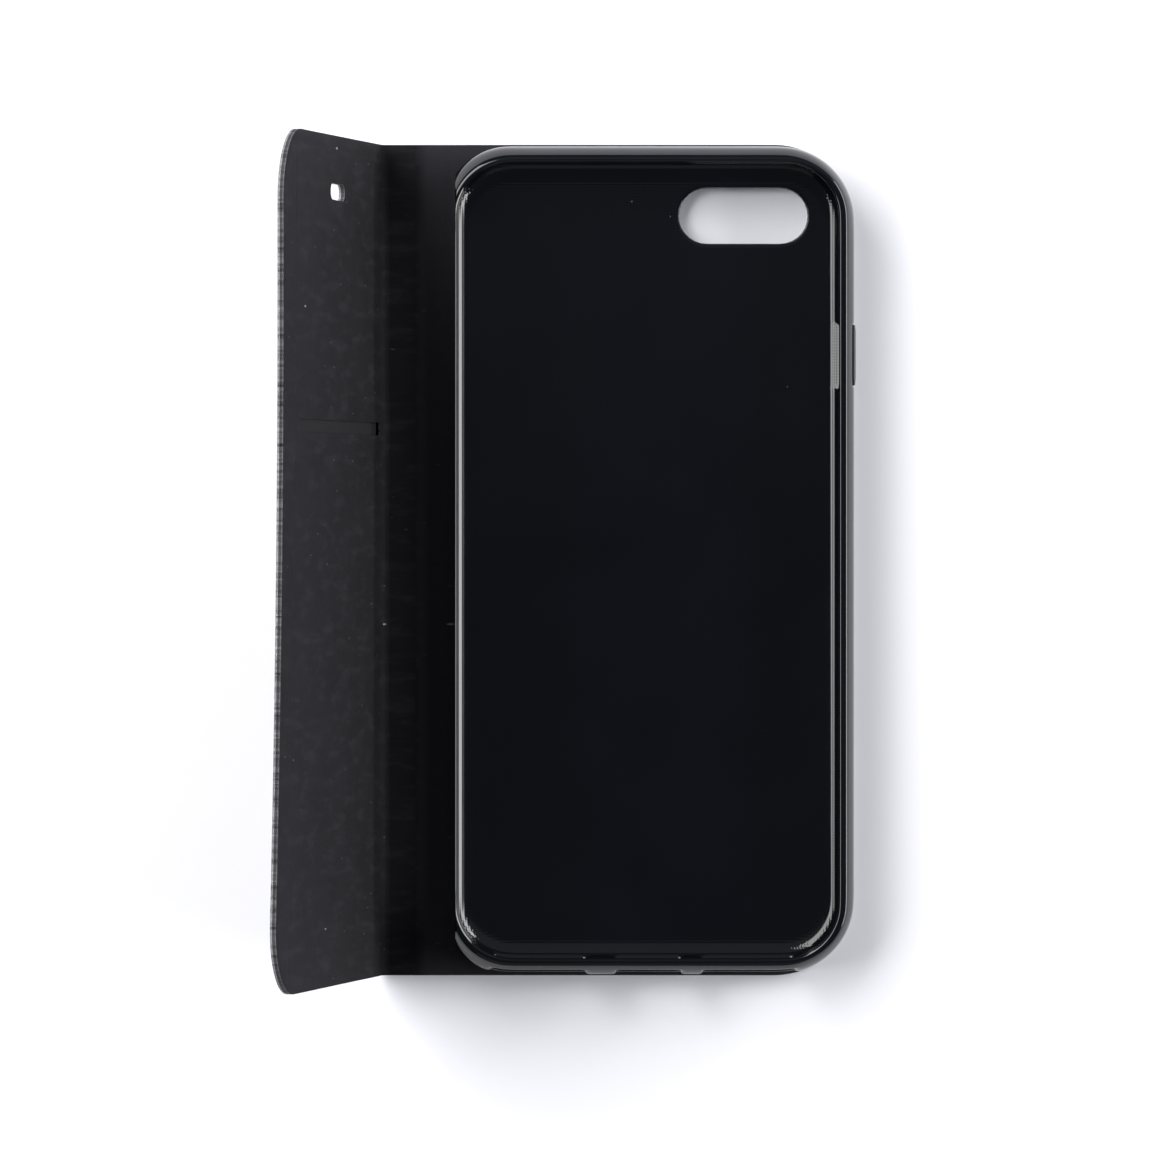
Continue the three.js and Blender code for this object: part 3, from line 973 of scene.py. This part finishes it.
# The boards stop this far from the spine's and the flap's folds, so that the cover can bend.
BOARD_GAP = 3.2 * MM
FLAP_BOARD_GAP = 2.5 * MM
board_materials = [board_face, board_cut]
leather_back = layer("leather_back", back_sheet, LEATHER, [leather, leather_cut],
                     holes=[camera_cut], marks=crease)
lining_back = layer("lining_back", back_sheet, LINING, [lining_of_back, lining_cut],
                    holes=[camera_cut], marks=crease)
leather_flap = layer("leather_flap", flap_sheet, LEATHER, [leather, leather_cut],
                     holes=[ear_cut], marks=crease)
lining_flap = layer("lining_flap", flap_sheet, LINING, [lining_of_flap, lining_cut],
                    holes=[ear_cut, slot_cut], marks=crease_and_border, lift=mouth_lift)
board_back = layer("board_back", back_sheet, BOARD, board_materials,
                   near=BOARD_GAP, holes=[camera_cut])
board_spine = layer("board_spine", back_sheet, BOARD, board_materials,
                    near=FLAP_BOARD_GAP - SPINE_LENGTH, far=-BOARD_GAP)
board_flap = layer("board_flap", flap_sheet, FLAP_BOARD, board_materials,
                   near=-FLAP_BOARD_GAP, holes=[ear_cut])
film_flap = layer("film_flap", flap_sheet, POCKET_FILM, board_materials,
                  near=-FLAP_BOARD_GAP, holes=[ear_cut, pocket_cut])

shell = add_object("shell", shell_mesh("shell"), [gloss, gloss_inside])
smooth_by_angle(shell, 35)
button = add_object("button_pad", button_mesh("button_pad"), [gloss])
smooth_by_angle(button, 50)
for material_slot in frame["nodes"]["shell_tape"].material_slots:
    material_slot.material = tape_material()

# ---------------------------------------------------------------- what each piece rides on
for piece, body in ((board_back, "body"), (shell, "body"), (board_spine, "spine"),
                    (board_flap, "flap"), (film_flap, "flap"), (button, "button")):
    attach(piece, body)

# The sheets' transforms are baked into their meshes.
for piece in (leather_back, lining_back):
    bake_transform(piece)
for piece in (leather_flap, lining_flap):
    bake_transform(piece)

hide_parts("back_leather", "spine_leather")
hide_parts("back_lining", "spine_lining")
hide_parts("flap_leather")
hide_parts("flap_lining")
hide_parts("back_board")
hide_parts("spine_board")
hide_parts("flap_board")
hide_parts("pocket_film")
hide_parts("tpu_shell")
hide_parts("power_button")

# ---------------------------------------------------------------- table, lights and camera
TABLE_HALF = 2.5
TABLE_GAP = 0.05 * MM
table_data = bpy.data.meshes.new("table")
corners = [(-TABLE_HALF, -TABLE_HALF, 0), (TABLE_HALF, -TABLE_HALF, 0),
           (TABLE_HALF, TABLE_HALF, 0), (-TABLE_HALF, TABLE_HALF, 0)]
table_data.from_pydata(corners, [], [(0, 1, 2, 3)])
table = add_object("table", table_data, [table_material()])
table.location.z = cad_low.z - TABLE_GAP


def soft_light(name, azimuth, elevation, size, brightness):
    """A rectangular soft light a metre away, facing the case, with its brightness per area."""
    turn, rise = math.radians(azimuth), math.radians(elevation)
    light = bpy.data.lights.new(name, "AREA")
    light.shape = "RECTANGLE"
    light.size, light.size_y = size
    light.energy = brightness * math.pi * light.size * light.size_y
    made = bpy.data.objects.new(name, light)
    made.location = (math.cos(rise) * math.cos(turn), math.cos(rise) * math.sin(turn), math.sin(rise))
    made.rotation_euler = made.location.to_track_quat("Z", "Y").to_euler()
    bpy.context.scene.collection.objects.link(made)


soft_light("right_panel", 7, 19, (1.24, 0.42), 10.2)
soft_light("left_panel", 152, 37, (1.3, 0.76), 6.8)
soft_light("top_card", 90, 50, (1.8, 1.1), 0.2)
soft_light("front_card", 270, 18, (1.2, 0.4), 0.15)

world = bpy.data.worlds.new("studio")
world.use_nodes = True
background = world.node_tree.nodes["Background"]
background.inputs["Color"].default_value = (0.9, 0.98, 1.18, 1)
background.inputs["Strength"].default_value = 0.105
bpy.context.scene.world = world
bpy.context.scene.view_settings.view_transform = "Standard"
bpy.context.scene.view_settings.look = "None"

# The camera looks almost straight down, from over the shell. The sensor's width is in millimetres.
CAMERA_HEIGHT = 1.37
CAMERA_ACROSS = 21.42 * MM
CAMERA_UP = 6 * MM
AIM_UP = -3.4 * MM
FRAME_WIDTH = 199.4 * MM
SENSOR = 36.0
eye = Vector((SHELL_LOW.x + CAMERA_ACROSS, CAMERA_UP, CAMERA_HEIGHT))
aim = Vector((eye.x, AIM_UP, 0))
camera_data = bpy.data.cameras.new("camera")
camera_data.sensor_width = SENSOR
camera_data.lens = SENSOR * (eye - aim).length / FRAME_WIDTH
camera_data.clip_end = 10
camera = bpy.data.objects.new("camera", camera_data)
camera.location = eye
camera.rotation_euler = (math.atan2(aim.y - eye.y, CAMERA_HEIGHT), 0, 0)
bpy.context.scene.collection.objects.link(camera)
bpy.context.scene.camera = camera

# ---------------------------------------------------------------- the scene brought up to date
bpy.context.view_layer.update()
